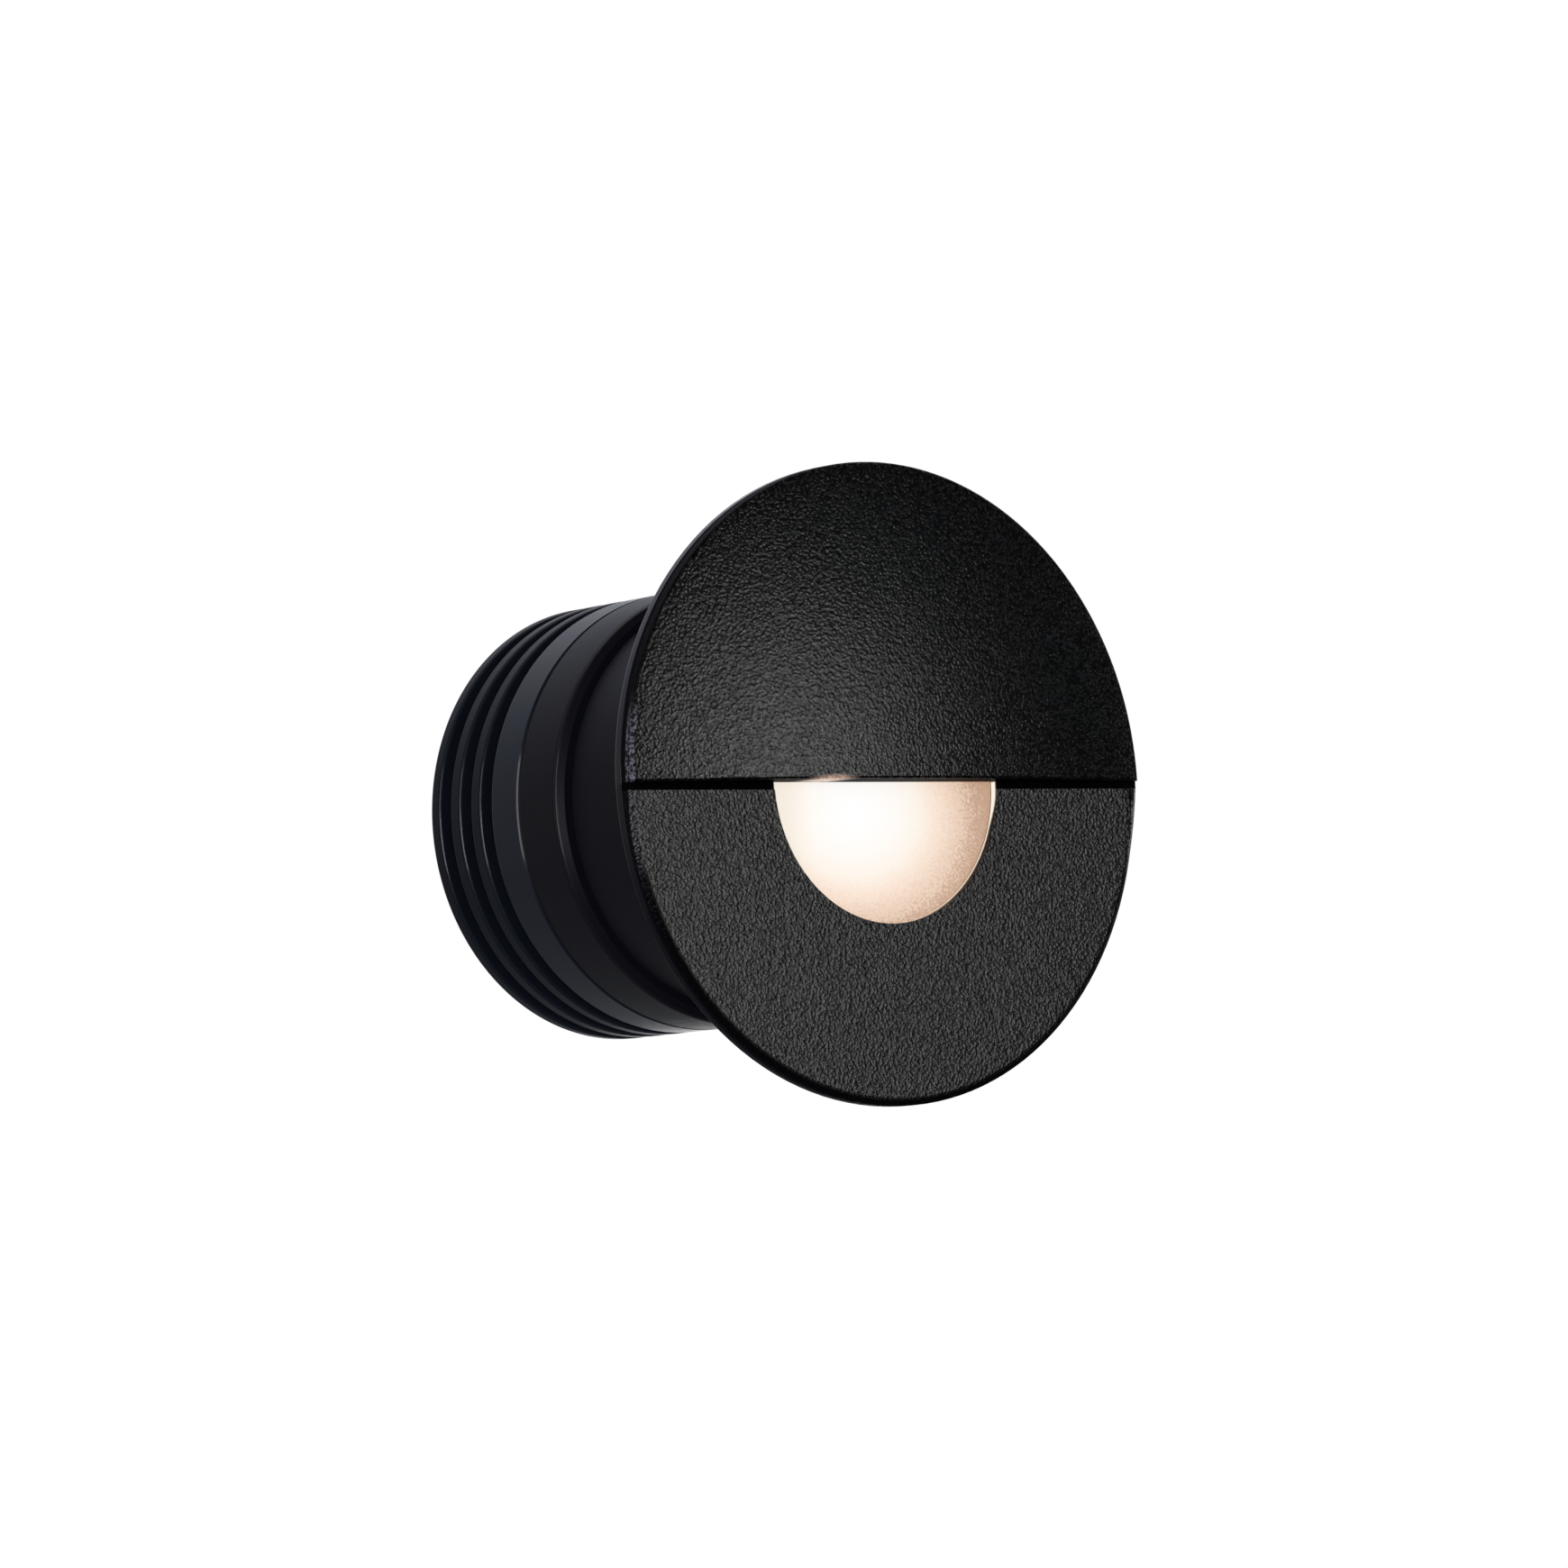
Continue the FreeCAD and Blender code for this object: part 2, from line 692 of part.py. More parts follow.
def package(plan_shares, height, place_shares):
    """Moulded package on the driver board with feet on two sides."""
    length, width = on_driver_board(plan_shares)
    x, z = on_driver_board(place_shares)
    foot, foot_width = on_driver_board((package_foot_share, package_foot_width_share))
    top_y = driver_rear_y + height
    body = block(length, driver_rear_y + package_foot_thickness, top_y, z - width / 2, z + width / 2, x)
    rim = [edge for edge in body.Edges if edge.BoundBox.YMin > top_y - merge_gap]
    shapes = [body.makeChamfer(package_chamfer, rim)]
    for pair in range(package_foot_pairs):
        foot_x = x + length * ((pair + 1 / 2) / package_foot_pairs - 1 / 2)
        shapes.append(block(foot_width, driver_rear_y, driver_rear_y + package_foot_thickness,
                            z - width / 2 - foot, z + width / 2 + foot, foot_x))
    return fused(shapes)


def smoothing_capacitor():
    """Can with its rolled bead near the board."""
    bead_y = driver_rear_y + capacitor_bead_place
    top_y = driver_rear_y + capacitor_height
    capacitor_r = driver_board_r * capacitor_share
    waist_r = capacitor_r - capacitor_bead_depth
    x, z = on_driver_board(capacitor_place_shares)
    body = turned([
        (0, driver_rear_y, 0),
        (capacitor_r, driver_rear_y, capacitor_round),
        (capacitor_r, bead_y, 0),
        (waist_r, bead_y + capacitor_bead_depth, capacitor_bead_depth),
        (capacitor_r, bead_y + 2 * capacitor_bead_depth, 0),
        (capacitor_r, top_y, capacitor_round),
        (0, top_y, 0),
    ])
    body.translate(V(x, 0, z))
    return body


def choke():
    """Shielded choke: a square block with round corners."""
    top_y = driver_rear_y + choke_height
    side, corner_round = on_driver_board((choke_side_share, choke_round_share))
    x, z = on_driver_board(choke_place_shares)
    body = block(side, driver_rear_y, top_y, z - side / 2, z + side / 2, x)
    upright = [edge for edge in body.Edges if edge.BoundBox.YLength > choke_height - merge_gap]
    body = body.makeFillet(corner_round, upright)
    rim = [edge for edge in body.Edges if edge.BoundBox.YMin > top_y - merge_gap]
    return body.makeFillet(choke_edge_round, rim)


def terminal_places():
    """Centre x of each terminal pole."""
    return [terminal_pitch * (pole - (terminal_poles - 1) / 2) for pole in range(terminal_poles)]


def terminal_block():
    """Two-pole terminal with screw wells at the rear and wire entries on its side."""
    top_y = driver_rear_y + terminal_height
    bottom_z = terminal_z - terminal_depth / 2
    top_z = terminal_z + terminal_depth / 2
    body = block(terminal_pitch * terminal_poles, driver_rear_y, top_y, bottom_z, top_z)
    corner = [edge for edge in body.Edges
              if edge.BoundBox.YMin > top_y - merge_gap and edge.BoundBox.ZMax < bottom_z + merge_gap]
    body = body.makeChamfer(terminal_chamfer, corner)
    tools = []
    entry_y = driver_rear_y + terminal_entry_base
    entry_width, entry_depth = on_driver_board((terminal_entry_width_share, terminal_entry_depth_share))
    for x in terminal_places():
        tools.append(disc(terminal_well_r, top_y - terminal_well_depth, top_y + overrun, x, terminal_z))
        tools.append(block(entry_width, entry_y, entry_y + terminal_entry_height,
                           bottom_z - overrun, bottom_z + entry_depth, x))
    return cut(body, tools)


def terminal_screws():
    """Slotted clamping screws in the terminal's wells."""
    floor_y = driver_rear_y + terminal_height - terminal_well_depth
    top_y = floor_y + terminal_screw_height
    screw_r = terminal_well_r - terminal_screw_clearance
    screws = []
    for x in terminal_places():
        slot = block(2 * screw_r + overrun, top_y - terminal_slot_depth, top_y + overrun,
                     terminal_z - terminal_slot_width / 2, terminal_z + terminal_slot_width / 2, x)
        screws.append(disc(screw_r, floor_y, top_y, x, terminal_z).cut(slot))
    return Part.makeCompound(screws)


def body_o_ring():
    """Ring in the joint between both halves of the barrel."""
    tube_r = body_groove_depth / 2 - body_ring_gap
    return Part.makeTorus(body_groove_r, tube_r, V(0, joint_y + body_groove_depth / 2, 0), V(0, 1, 0))


def fin_corners():
    """Outline corners of the grooves and fins, from the joint to the rear edge."""
    corners = []
    for index in range(groove_count):
        front_y = first_groove_y + fin_pitch * index
        rear_y = front_y + groove_width
        corners += [
            (barrel_r, front_y, fin_edge_round),
            (groove_floor_r, front_y, groove_floor_round),
            (groove_floor_r, rear_y, groove_floor_round),
            (barrel_r, rear_y, fin_edge_round),
        ]
    return corners


def rear_housing():
    """Finned rear part: threaded spigot, seal groove, fins and rear wall with the gland hole."""
    spigot_front_y = thread_start_y + thread_end_gap
    groove_inner_r = body_groove_r - body_groove_width / 2
    groove_outer_r = body_groove_r + body_groove_width / 2
    groove_y = joint_y + body_groove_depth
    return turned([
        (rear_bore_r, spigot_front_y, 0),
        (rear_spigot_r - thread_entry_chamfer, spigot_front_y, 0),
        (rear_spigot_r, spigot_front_y + thread_entry_chamfer, 0),
        (rear_spigot_r, joint_y, 0),
        (groove_inner_r, joint_y, 0),
        (groove_inner_r, groove_y, 0),
        (groove_outer_r, groove_y, 0),
        (groove_outer_r, joint_y, 0),
        (barrel_r - joint_chamfer, joint_y, 0),
        (barrel_r, joint_y + joint_chamfer, 0),
    ] + fin_corners() + [
        (barrel_r, barrel_length, rear_edge_round),
        (gland_thread_r, barrel_length, 0),
        (gland_thread_r, rear_inner_y, 0),
        (rear_bore_r, rear_inner_y, rear_bore_round),
    ])


def gland_body():
    """Gland screwed into the rear wall: thread, hexagon, neck and the seal's tapered seat."""
    thread_outer_r = gland_thread_r - gland_thread_clearance
    front_y = barrel_length - gland_thread_reach
    seat_y = gland_neck_y - gland_seat_depth
    corner_r = gland_across_flats / 2 / math.cos(math.radians(30))
    core = turned([
        (gland_bore_r, front_y, 0),
        (thread_outer_r, front_y, gland_edge_round),
        (thread_outer_r, hex_front_y, 0),
        (gland_neck_r, hex_front_y, 0),
        (gland_neck_r, gland_neck_y, gland_edge_round),
        (gland_seat_r + gland_seat_taper / 2, gland_neck_y, 0),
        (gland_seat_r, seat_y + gland_seat_taper, 0),
        (gland_bore_r, seat_y, 0),
    ])
    crown = turned([
        (gland_bore_r, hex_front_y, 0),
        (corner_r - gland_hex_chamfer, hex_front_y, 0),
        (corner_r, hex_front_y + gland_hex_chamfer / 2, 0),
        (corner_r, hex_rear_y - gland_hex_chamfer / 2, 0),
        (corner_r - gland_hex_chamfer, hex_rear_y, 0),
        (gland_bore_r, hex_rear_y, 0),
    ])
    return fused([core, crown.common(hexagon(gland_across_flats, hex_front_y, hex_rear_y))])


def gland_washer():
    """Flat seal between the gland's hexagon and the rear wall."""
    ring = disc(gland_washer_r, barrel_length, hex_front_y)
    return ring.cut(disc(gland_thread_r, barrel_length - overrun, hex_front_y + overrun))


def gland_seal():
    """Rubber sleeve that the nut squeezes on the cable, with a tapered foot."""
    seat_y = gland_neck_y - gland_seat_depth + gland_seat_taper
    rear_y = nut_rear_y - gland_nut_end_wall - gland_seal_end_gap
    return turned([
        (cable_bore_r, seat_y, gland_edge_round),
        (gland_seal_r, seat_y, gland_edge_round),
        (gland_seal_r, rear_y - gland_seat_taper, 0),
        (gland_seal_r - gland_seat_taper, rear_y, 0),
        (cable_bore_r, rear_y, gland_edge_round),
    ])


def gland_nut():
    """Domed hexagonal nut of the gland, with a round mouth for the cable."""
    corner_r = gland_nut_across_flats / 2 / math.cos(math.radians(30))
    end_y = nut_rear_y - gland_nut_end_wall
    dome = turned([
        (gland_nut_bore_r, nut_front_y, 0),
        (corner_r - gland_nut_flat_chamfer, nut_front_y, 0),
        (corner_r, nut_front_y + gland_nut_flat_chamfer, 0),
        (corner_r, nut_rear_y, gland_nut_dome_round),
        (gland_mouth_r, nut_rear_y, gland_edge_round),
        (gland_mouth_r, end_y, 0),
        (gland_nut_bore_r, end_y, gland_edge_round),
    ])
    return dome.common(hexagon(gland_nut_across_flats, nut_front_y - overrun, nut_rear_y + overrun))


def pieces():
    """Every piece by name."""
    pad_r = led_board_r - thermal_pad_margin
    return {
        "front_cover": front_cover(),
        "cover_o_ring": cover_o_ring(),
        "front_housing": front_housing(),
        "diffuser_lens": diffuser_lens(),
        "lens_seal": lens_seal(),
        "lens_ring": lens_ring(),
        "reflector": reflector(),
        "led_board": notched_disc(led_board_r, led_board_front_y, led_board_rear_y),
        "thermal_pad": notched_disc(pad_r, led_board_rear_y, web_front_y),
        "led_emitters": led_emitters(),
        "led_board_screws": led_board_screws(),
        "lead_grommet": lead_grommet(),
        "led_lead_red": lead(lead_spacing / 2),
        "led_lead_black": lead(-lead_spacing / 2),
        "driver_board": driver_board(),
        "driver_board_screws": driver_board_screws(),
        "driver_chip": package(chip_shares, chip_height, chip_place_shares),
        "rectifier": package(rectifier_shares, rectifier_height, rectifier_place_shares),
        "smoothing_capacitor": smoothing_capacitor(),
        "choke": choke(),
        "terminal_block": terminal_block(),
        "terminal_screws": terminal_screws(),
        "body_o_ring": body_o_ring(),
        "rear_housing": rear_housing(),
        "gland_body": gland_body(),
        "gland_washer": gland_washer(),
        "gland_seal": gland_seal(),
        "gland_nut": gland_nut(),
    }


def main():
    os.makedirs("parts", exist_ok=True)
    for name, shape in pieces().items():
        shape.exportStep(os.path.join("parts", name + ".step"))
        print(name, "solids", len(shape.Solids), "volume", round(shape.Volume, 2), "valid", shape.isValid())


main()
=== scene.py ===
"""Recessed wall light: black hooded cover and lit half-moon window on a finned barrel."""
import json
import math

import bmesh
import bpy
from mathutils import Matrix, Vector


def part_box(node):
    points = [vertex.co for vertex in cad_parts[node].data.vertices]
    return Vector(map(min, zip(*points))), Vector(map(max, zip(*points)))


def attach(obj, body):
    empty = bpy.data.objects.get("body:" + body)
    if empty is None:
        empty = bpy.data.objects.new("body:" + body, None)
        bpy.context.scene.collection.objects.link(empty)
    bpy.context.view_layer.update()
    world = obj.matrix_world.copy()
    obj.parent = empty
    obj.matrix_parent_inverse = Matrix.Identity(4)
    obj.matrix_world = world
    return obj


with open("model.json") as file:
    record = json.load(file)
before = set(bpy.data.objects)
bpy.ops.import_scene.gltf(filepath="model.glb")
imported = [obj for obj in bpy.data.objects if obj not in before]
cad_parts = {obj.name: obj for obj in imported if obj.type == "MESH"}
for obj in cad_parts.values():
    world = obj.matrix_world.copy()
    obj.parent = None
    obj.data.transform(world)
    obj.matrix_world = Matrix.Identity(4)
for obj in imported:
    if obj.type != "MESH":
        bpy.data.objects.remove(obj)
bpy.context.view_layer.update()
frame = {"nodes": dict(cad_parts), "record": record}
nodes = frame["nodes"]

MM = 0.001
PHOTO_WIDTH = 1740


def box_end(node, axis, end):
    """Where a node's box starts, for end 0, or stops, for end 1, along an axis, in millimetres."""
    return round(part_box(node)[end]["xyz".index(axis)] / MM, 2)


# Radii and places along the barrel that the frame gives, in millimetres
FLANGE_R = box_end("front_housing", "x", 1)
FLANGE_FRONT_Y = box_end("front_housing", "y", 0)
COLLAR_END_Y = box_end("front_housing", "y", 1)
BARREL_R = box_end("rear_housing", "x", 1)
BARREL_END_Y = box_end("rear_housing", "y", 1)

# Cover: plate, hood, bevel, window and the shadow slot under the hood
RECESS_R = FLANGE_R - 1.6
COVER_FACE_Y = FLANGE_FRONT_Y - 0.8
HOOD_RIM_Y = COVER_FACE_Y - 0.55
BEVEL_WIDTH = 0.5
WINDOW_R = 13.07
WINDOW_LIP = 0.75
HOOD_LIP_Z = 0.12
SLOT_FOOT_Z = -0.57
SLOT_BACK_Y = -0.6

# Barrel: neck, collar, smooth band and fins
NECK_END_Y = 21.0
COLLAR_Y = NECK_END_Y + 1
BAND_Y = COLLAR_END_Y + 0.3
FIN_COUNT = 3
FIN_PITCH = 3.35
REAR_FIN_WIDTH = 1.55
FIRST_FIN_Y = BARREL_END_Y - REAR_FIN_WIDTH - (FIN_COUNT - 1) * FIN_PITCH


def grey(level):
    return level, level, level


class Amount:
    """A shader value that works in plain arithmetic."""

    def __init__(self, owner, socket):
        self.owner = owner
        self.socket = socket

    def maths(self, operation, *values):
        return self.owner.node("ShaderNodeMath", {"operation": operation}, dict(enumerate(values)))

    def __add__(self, other):
        return self.maths("ADD", self, other)

    def __sub__(self, other):
        return self.maths("SUBTRACT", self, other)

    def __rsub__(self, other):
        return self.maths("SUBTRACT", other, self)

    def __mul__(self, other):
        return self.maths("MULTIPLY", self, other)

    def __truediv__(self, other):
        return self.maths("DIVIDE", self, other)

    def __rtruediv__(self, other):
        return self.maths("DIVIDE", other, self)

    def __pow__(self, power):
        return self.maths("POWER", self, power)

    def above(self, limit):
        return self.maths("GREATER_THAN", self, limit)

    def below(self, limit):
        return self.maths("LESS_THAN", self, limit)

    def between(self, low, high):
        """1 from low to high, else 0."""
        return self.above(low) * self.below(high)

    def larger(self, other):
        return self.maths("MAXIMUM", self, other)

    def rising(self, start, end):
        """0 before start and 1 after end, with a smooth step between; it falls where end is the smaller."""
        settings = {"interpolation_type": "SMOOTHSTEP"}
        sockets = {"Value": self, "From Min": start, "From Max": end}
        return self.owner.node("ShaderNodeMapRange", settings, sockets)

    __radd__ = __add__
    __rmul__ = __mul__


class Nodes:
    """The nodes of a material or of the surroundings."""

    def __init__(self, tree):
        self.tree = tree
        tree.nodes.clear()

    def node(self, kind, settings=None, sockets=None, out=0):
        """Add a node with its settings and its sockets' values or links, and give one of its outputs."""
        made = self.tree.nodes.new(kind)
        for name, value in (settings or {}).items():
            if name == "stops":
                stops = made.color_ramp.elements
                for index, (position, colour) in enumerate(value):
                    stop = stops[index] if index < 2 else stops.new(position)
                    stop.position = position
                    stop.color = (*colour, 1)
            else:
                setattr(made, name, value)
        for name, value in (sockets or {}).items():
            if isinstance(value, Amount):
                self.tree.links.new(value.socket, made.inputs[name])
            else:
                made.inputs[name].default_value = value
        return Amount(self, made.outputs[out] if made.outputs else made.inputs[0])

    def ray(self, kind):
        """1 for rays of a kind, such as Camera or Glossy, else 0."""
        return self.node("ShaderNodeLightPath", out=f"Is {kind} Ray")

    def reflected(self):
        """1 for what gloss and glass show, else 0."""
        return self.ray("Glossy").larger(self.ray("Transmission"))


class Finish(Nodes):
    """A procedural finish: its material, its nodes and its shader, with places in millimetres."""

    def __init__(self, name, metallic=0.0, specular=0.5):
        self.material = bpy.data.materials.new(name)
        self.material.use_nodes = True
        super().__init__(self.material.node_tree)
        sockets = {"Metallic": metallic, "Specular IOR Level": specular}
        self.surface = self.node("ShaderNodeBsdfPrincipled", {}, sockets)
        self.shader = self.surface.socket.node
        self.output = self.node("ShaderNodeOutputMaterial", {}, {"Surface": self.surface})
        metres = self.node("ShaderNodeTexCoord", out="Object")
        self.place = self.node("ShaderNodeVectorMath", {"operation": "SCALE"}, {0: metres, "Scale": 1 / MM})
        self.x, self.y, self.z = (
            self.node("ShaderNodeSeparateXYZ", {}, {0: self.place}, axis) for axis in "XYZ")

    def radius(self):
        """Distance from the barrel's axis."""
        return (self.x * self.x + self.z * self.z) ** 0.5

    def noise(self, size_mm, detail=2.0, roughness=0.5):
        """Cloudy noise whose features are about size_mm across."""
        sockets = {"Vector": self.place, "Scale": 1 / size_mm, "Detail": detail, "Roughness": roughness}
        return self.node("ShaderNodeTexNoise", {}, sockets)

    def cells(self, size_mm):
        """Distance to scattered points about size_mm apart, with smooth valleys between them."""
        sockets = {"Vector": self.place, "Scale": 1 / size_mm}
        return self.node("ShaderNodeTexVoronoi", {"feature": "SMOOTH_F1"}, sockets, "Distance")

    def mix(self, share, first, second):
        """Colour between two colours."""
        settings = {"data_type": "RGBA", "clamp_factor": True}
        pair = {0: share, 6: self.colour(first), 7: self.colour(second)}
        return self.node("ShaderNodeMix", settings, pair, 2)

    def colour(self, value):
        return value if isinstance(value, Amount) else (*value, 1)

    def set(self, socket, value):
        if isinstance(value, Amount):
            self.tree.links.new(value.socket, self.shader.inputs[socket])
        else:
            self.shader.inputs[socket].default_value = value
        return self

    def paint(self, colour, roughness):
        return self.set("Base Color", self.colour(colour)).set("Roughness", roughness)

    def relief(self, height, depth_mm):
        """Bumps of the given height pattern, depth_mm from its 0 to its 1."""
        sockets = {"Height": height, "Distance": depth_mm * MM, "Strength": 1.0}
        return self.set("Normal", self.node("ShaderNodeBump", {}, sockets))

    def glow(self, colour, strength=1.0):
        return self.set("Emission Color", self.colour(colour)).set("Emission Strength", strength)

    def dulled(self, share, colour):
        """Lay a coat without gloss over a share of the surface."""
        sockets = {"Base Color": self.colour(colour), "Roughness": 1.0, "Specular IOR Level": 0.0}
        dull = self.node("ShaderNodeBsdfPrincipled", {}, sockets)
        both = self.node("ShaderNodeMixShader", {}, {0: share, 1: self.surface, 2: dull})
        self.tree.links.new(both.socket, self.output.socket)


def slot_painted_shade(coat, radius):
    """1 inside the slot under the hood, and on the webs at its ends, which stand as high as the hood; there
    the coat is painted black and dull as shade.
    """
    web_height = 0.6 * radius.above(RECESS_R - 0.1)
    inside = coat.y.above(COVER_FACE_Y + 0.01 - web_height) * coat.y.below(SLOT_BACK_Y)
    return inside * coat.z.between(SLOT_FOOT_Z - 0.015, HOOD_LIP_Z + 0.015)


def lit_window_wall(coat, radius):
    """1 on the rear part of the window's wall, where the lens's light is painted as glow, and on more of it
    near the hood.
    """
    wall = radius.rising(WINDOW_R - 0.12, WINDOW_R - 0.02) * radius.below(WINDOW_R + 0.05)
    wall = wall * coat.y.above(COVER_FACE_Y - 0.03) * coat.z.below(HOOD_LIP_Z + 0.01)
    depth = (coat.y - COVER_FACE_Y) / WINDOW_LIP
    reach = (depth + 0.6 * coat.z.rising(-4.5, -1)).rising(0.55, 0.95)
    return wall * reach * coat.y.below(COVER_FACE_Y + WINDOW_LIP + 0.02)


def light_on_lip(coat):
    """A small oval of light painted as glow on the hood's lip, over the brightest part of the lens."""
    centre_x, half_length, half_height = -8.8, 3.2, 0.55
    across = (coat.x - centre_x) / half_length
    up = (coat.z - HOOD_LIP_Z) / half_height
    oval = 1 - (across ** 2 + up ** 2) ** 0.5
    return oval.rising(0, 0.9) * coat.y.below(COVER_FACE_Y - 0.15)


def painted_glint_on_hood_edge(coat, radius):
    """1 on the bevel left of the hood's lip, where a pale glint is painted on the coat, and less from z 4 to
    9.
    """
    bevel = radius.above(FLANGE_R - BEVEL_WIDTH) * coat.y.below(COVER_FACE_Y + 0.05)
    return bevel * coat.x.below(0) * coat.z.above(HOOD_LIP_Z + 0.015) * coat.z.rising(9, 4)


def unlit_faces(coat, radius):
    """1 on the cover's side, its lower bevel and the underside of the hood's lip, which are painted as shade.
    """
    side = radius.above(FLANGE_R - 0.06) * coat.y.below(FLANGE_FRONT_Y + 0.05)
    lower_bevel = radius.rising(FLANGE_R - 0.9, FLANGE_R - 0.65) * coat.z.rising(-5, -9)
    under_lip = coat.z.below(HOOD_LIP_Z + 0.01) * coat.y.below(COVER_FACE_Y - 0.2)
    return side.larger(lower_bevel).larger(under_lip * radius.below(RECESS_R - 0.4))


def textured_powder_coat():
    """Black powder coat with a pebbled grain, with painted shade in the slot, in the grain's valleys and on
    faces held as unlit, a painted glint on the left bevel, and the lens's light painted as glow.
    """
    coat = Finish("textured_powder_coat", specular=0.3)
    radius = coat.radius()
    grain_size, pebble_size, grain_depth = 0.25, 0.29, 0.085
    grain = coat.noise(grain_size, 2, 0.6)
    height = 0.5 * grain + 0.5 * (0.95 - coat.cells(pebble_size))
    tops = height.rising(0.44, 0.6)
    slot = slot_painted_shade(coat, radius)
    painted_glint = painted_glint_on_hood_edge(coat, radius)
    # Painted shade: the grain's valleys are darker than its tops, and lose some gloss further down.
    tone = coat.mix(tops, (0.0005, 0.0005, 0.0006), (0.005, 0.005, 0.0054))
    # Painted highlight: a pale glint on the grain's tops on the bevel left of the hood's lip.
    tone = coat.mix(painted_glint * tops * grain, tone, (0.12, 0.112, 0.15))
    # Painted shade: the slot and the webs in it are black.
    coat.paint(coat.mix(slot, tone, grey(0)), 0.18 + 0.06 * grain)
    rounded_rim = 0.3 * radius.rising(FLANGE_R - 1.2, FLANGE_R)
    coat.relief((height - rounded_rim) * (1 - slot), grain_depth)

    # Painted light: glow on the window's wall and on the hood's lip stands for the lens's light.
    lit = lit_window_wall(coat, radius)
    spill = light_on_lip(coat)
    window_glow = coat.mix(lit, grey(0), (0.95, 0.86, 0.74))
    coat.glow(coat.mix(spill, window_glow, (0.55, 0.36, 0.27)))

    # Painted shade: the cover's side, its lower bevel and the underside of the hood's lip lose gloss and turn
    # nearly black, except on the painted glint and the light on the lip; so do the slot and, in part, the
    # grain's valleys.
    unlit = 0.9 * unlit_faces(coat, radius) * (1 - painted_glint) * (1 - spill)
    dull = (0.4 * (1 - tops)).larger(slot).larger(unlit)
    coat.dulled(dull * (1 - lit), (0.0015, 0.0015, 0.0018))
    return coat.material


def rubbed_ridges(coat, radius):
    """1 on the narrow edges of the collar, the smooth band and the fins, where the coat is rubbed shiny."""
    band_edge = coat.y.between(BAND_Y - 0.13, BAND_Y + 0.01)
    collar_edge = coat.y.between(COLLAR_Y - 0.2, COLLAR_Y + 0.1)
    ridges = band_edge.larger(collar_edge) * radius.above(BARREL_R - 0.3)
    for fin in range(FIN_COUNT):
        edge = FIRST_FIN_Y + fin * FIN_PITCH + 0.05
        ridges = ridges.larger(coat.y.between(edge, edge + 0.14) * radius.above(BARREL_R - 0.4))
    return ridges


def satin_black_coat():
    """Satin black of the flange and the barrel, rubbed shiny along its ridges, with painted shade that makes
    the neck, the fins, the lower part of the flange's rim and the collar's foot dull and dark.
    """
    coat = Finish("satin_black_coat", specular=0.1)
    coat.set("Coat Roughness", 0.12).set("Coat IOR", 1.5)
    radius = coat.radius()
    lines_per_mm, cloud_size, dust_size, grain_depth = 9, 6, 0.25, 0.004
    lines = {"W": coat.y * lines_per_mm, "Detail": 3.0}
    turning = coat.node("ShaderNodeTexNoise", {"noise_dimensions": "1D"}, lines)
    cloud = coat.noise(cloud_size)
    dust = coat.noise(dust_size)
    patches = 0.5 * cloud + 0.5 * dust
    front = coat.mix(patches, (0.0033, 0.003, 0.005), (0.0075, 0.0068, 0.0105))
    rear = coat.mix(patches, (0.004, 0.005, 0.0085), (0.009, 0.0115, 0.0185))
    half = coat.y.above(BAND_Y - 0.15)
    coat.paint(coat.mix(half, front, rear), 0.3 + 0.1 * cloud)
    coat.relief(turning + 0.5 * dust, grain_depth)

    ridges = rubbed_ridges(coat, radius)
    rim = radius.above(FLANGE_R - 0.4) * coat.y.below(0.1)
    coat.set("Coat Weight", 0.4 * ridges + 0.25 * rim * coat.z.above(0))

    fins = coat.y.between(FIRST_FIN_Y - 0.65, BARREL_END_Y - 0.1)
    neck = coat.y.between(1, BAND_Y - 0.15)
    under = rim * coat.z.rising(0, -15)
    collar_foot = coat.y.between(NECK_END_Y - 0.3, NECK_END_Y + 0.35)
    # Painted shade: the fins, the neck, the lower part of the flange's rim and the foot of the collar lose
    # gloss and turn darker.
    dull = (0.35 * fins + 0.4 * neck + 0.6 * under) * (1 - ridges)
    coat.dulled(dull.larger(collar_foot), (0.003, 0.0033, 0.005))
    return coat.material


def frosted_lit_lens():
    """Frosted lens of the lit lamp, its light from behind painted as glow: white at its hot spot, peach
    towards its right and lower edge.
    """
    lens = Finish("frosted_lit_lens", specular=0.2)
    speckle_size, speckle_depth = 0.22, 0.02
    speckle = lens.noise(speckle_size, 2, 0.7)
    hot_x, hot_z, flattening, reach = -3.5, -2.5, 1.6, 19.3
    away = ((lens.x - hot_x) ** 2 + flattening * (lens.z - hot_z) ** 2) ** 0.5
    dimming = away.rising(0, reach) + (speckle - 0.5) * 0.5 * away.rising(4, 15)
    stops = [(0, (1.0, 1.0, 1.0)), (0.35, (0.98, 0.9, 0.8)), (0.52, (0.94, 0.75, 0.61)),
             (0.75, (0.77, 0.55, 0.4)), (0.82, (0.61, 0.39, 0.26)), (0.9, (0.5, 0.29, 0.17))]
    warmth = lens.node("ShaderNodeValToRGB", {"stops": stops}, {0: dimming})
    left = lens.x.rising(-8, -13)
    lens.paint((0.1, 0.095, 0.09), 0.5)
    lens.relief(speckle, speckle_depth)
    lens.glow(lens.mix(left, warmth, (0.9, 0.82, 0.71)), 0.89)
    return lens.material


def plain(name, dark, light, roughness, size_mm, depth_mm, metallic=0.0):
    """Even material with a fine grain, for the pieces inside and the gland."""
    finish = Finish(name, metallic=metallic)
    grain = finish.noise(size_mm, 3)
    finish.paint(finish.mix(grain, dark, light), roughness + 0.12 * grain)
    finish.relief(grain, depth_mm)
    return finish.material


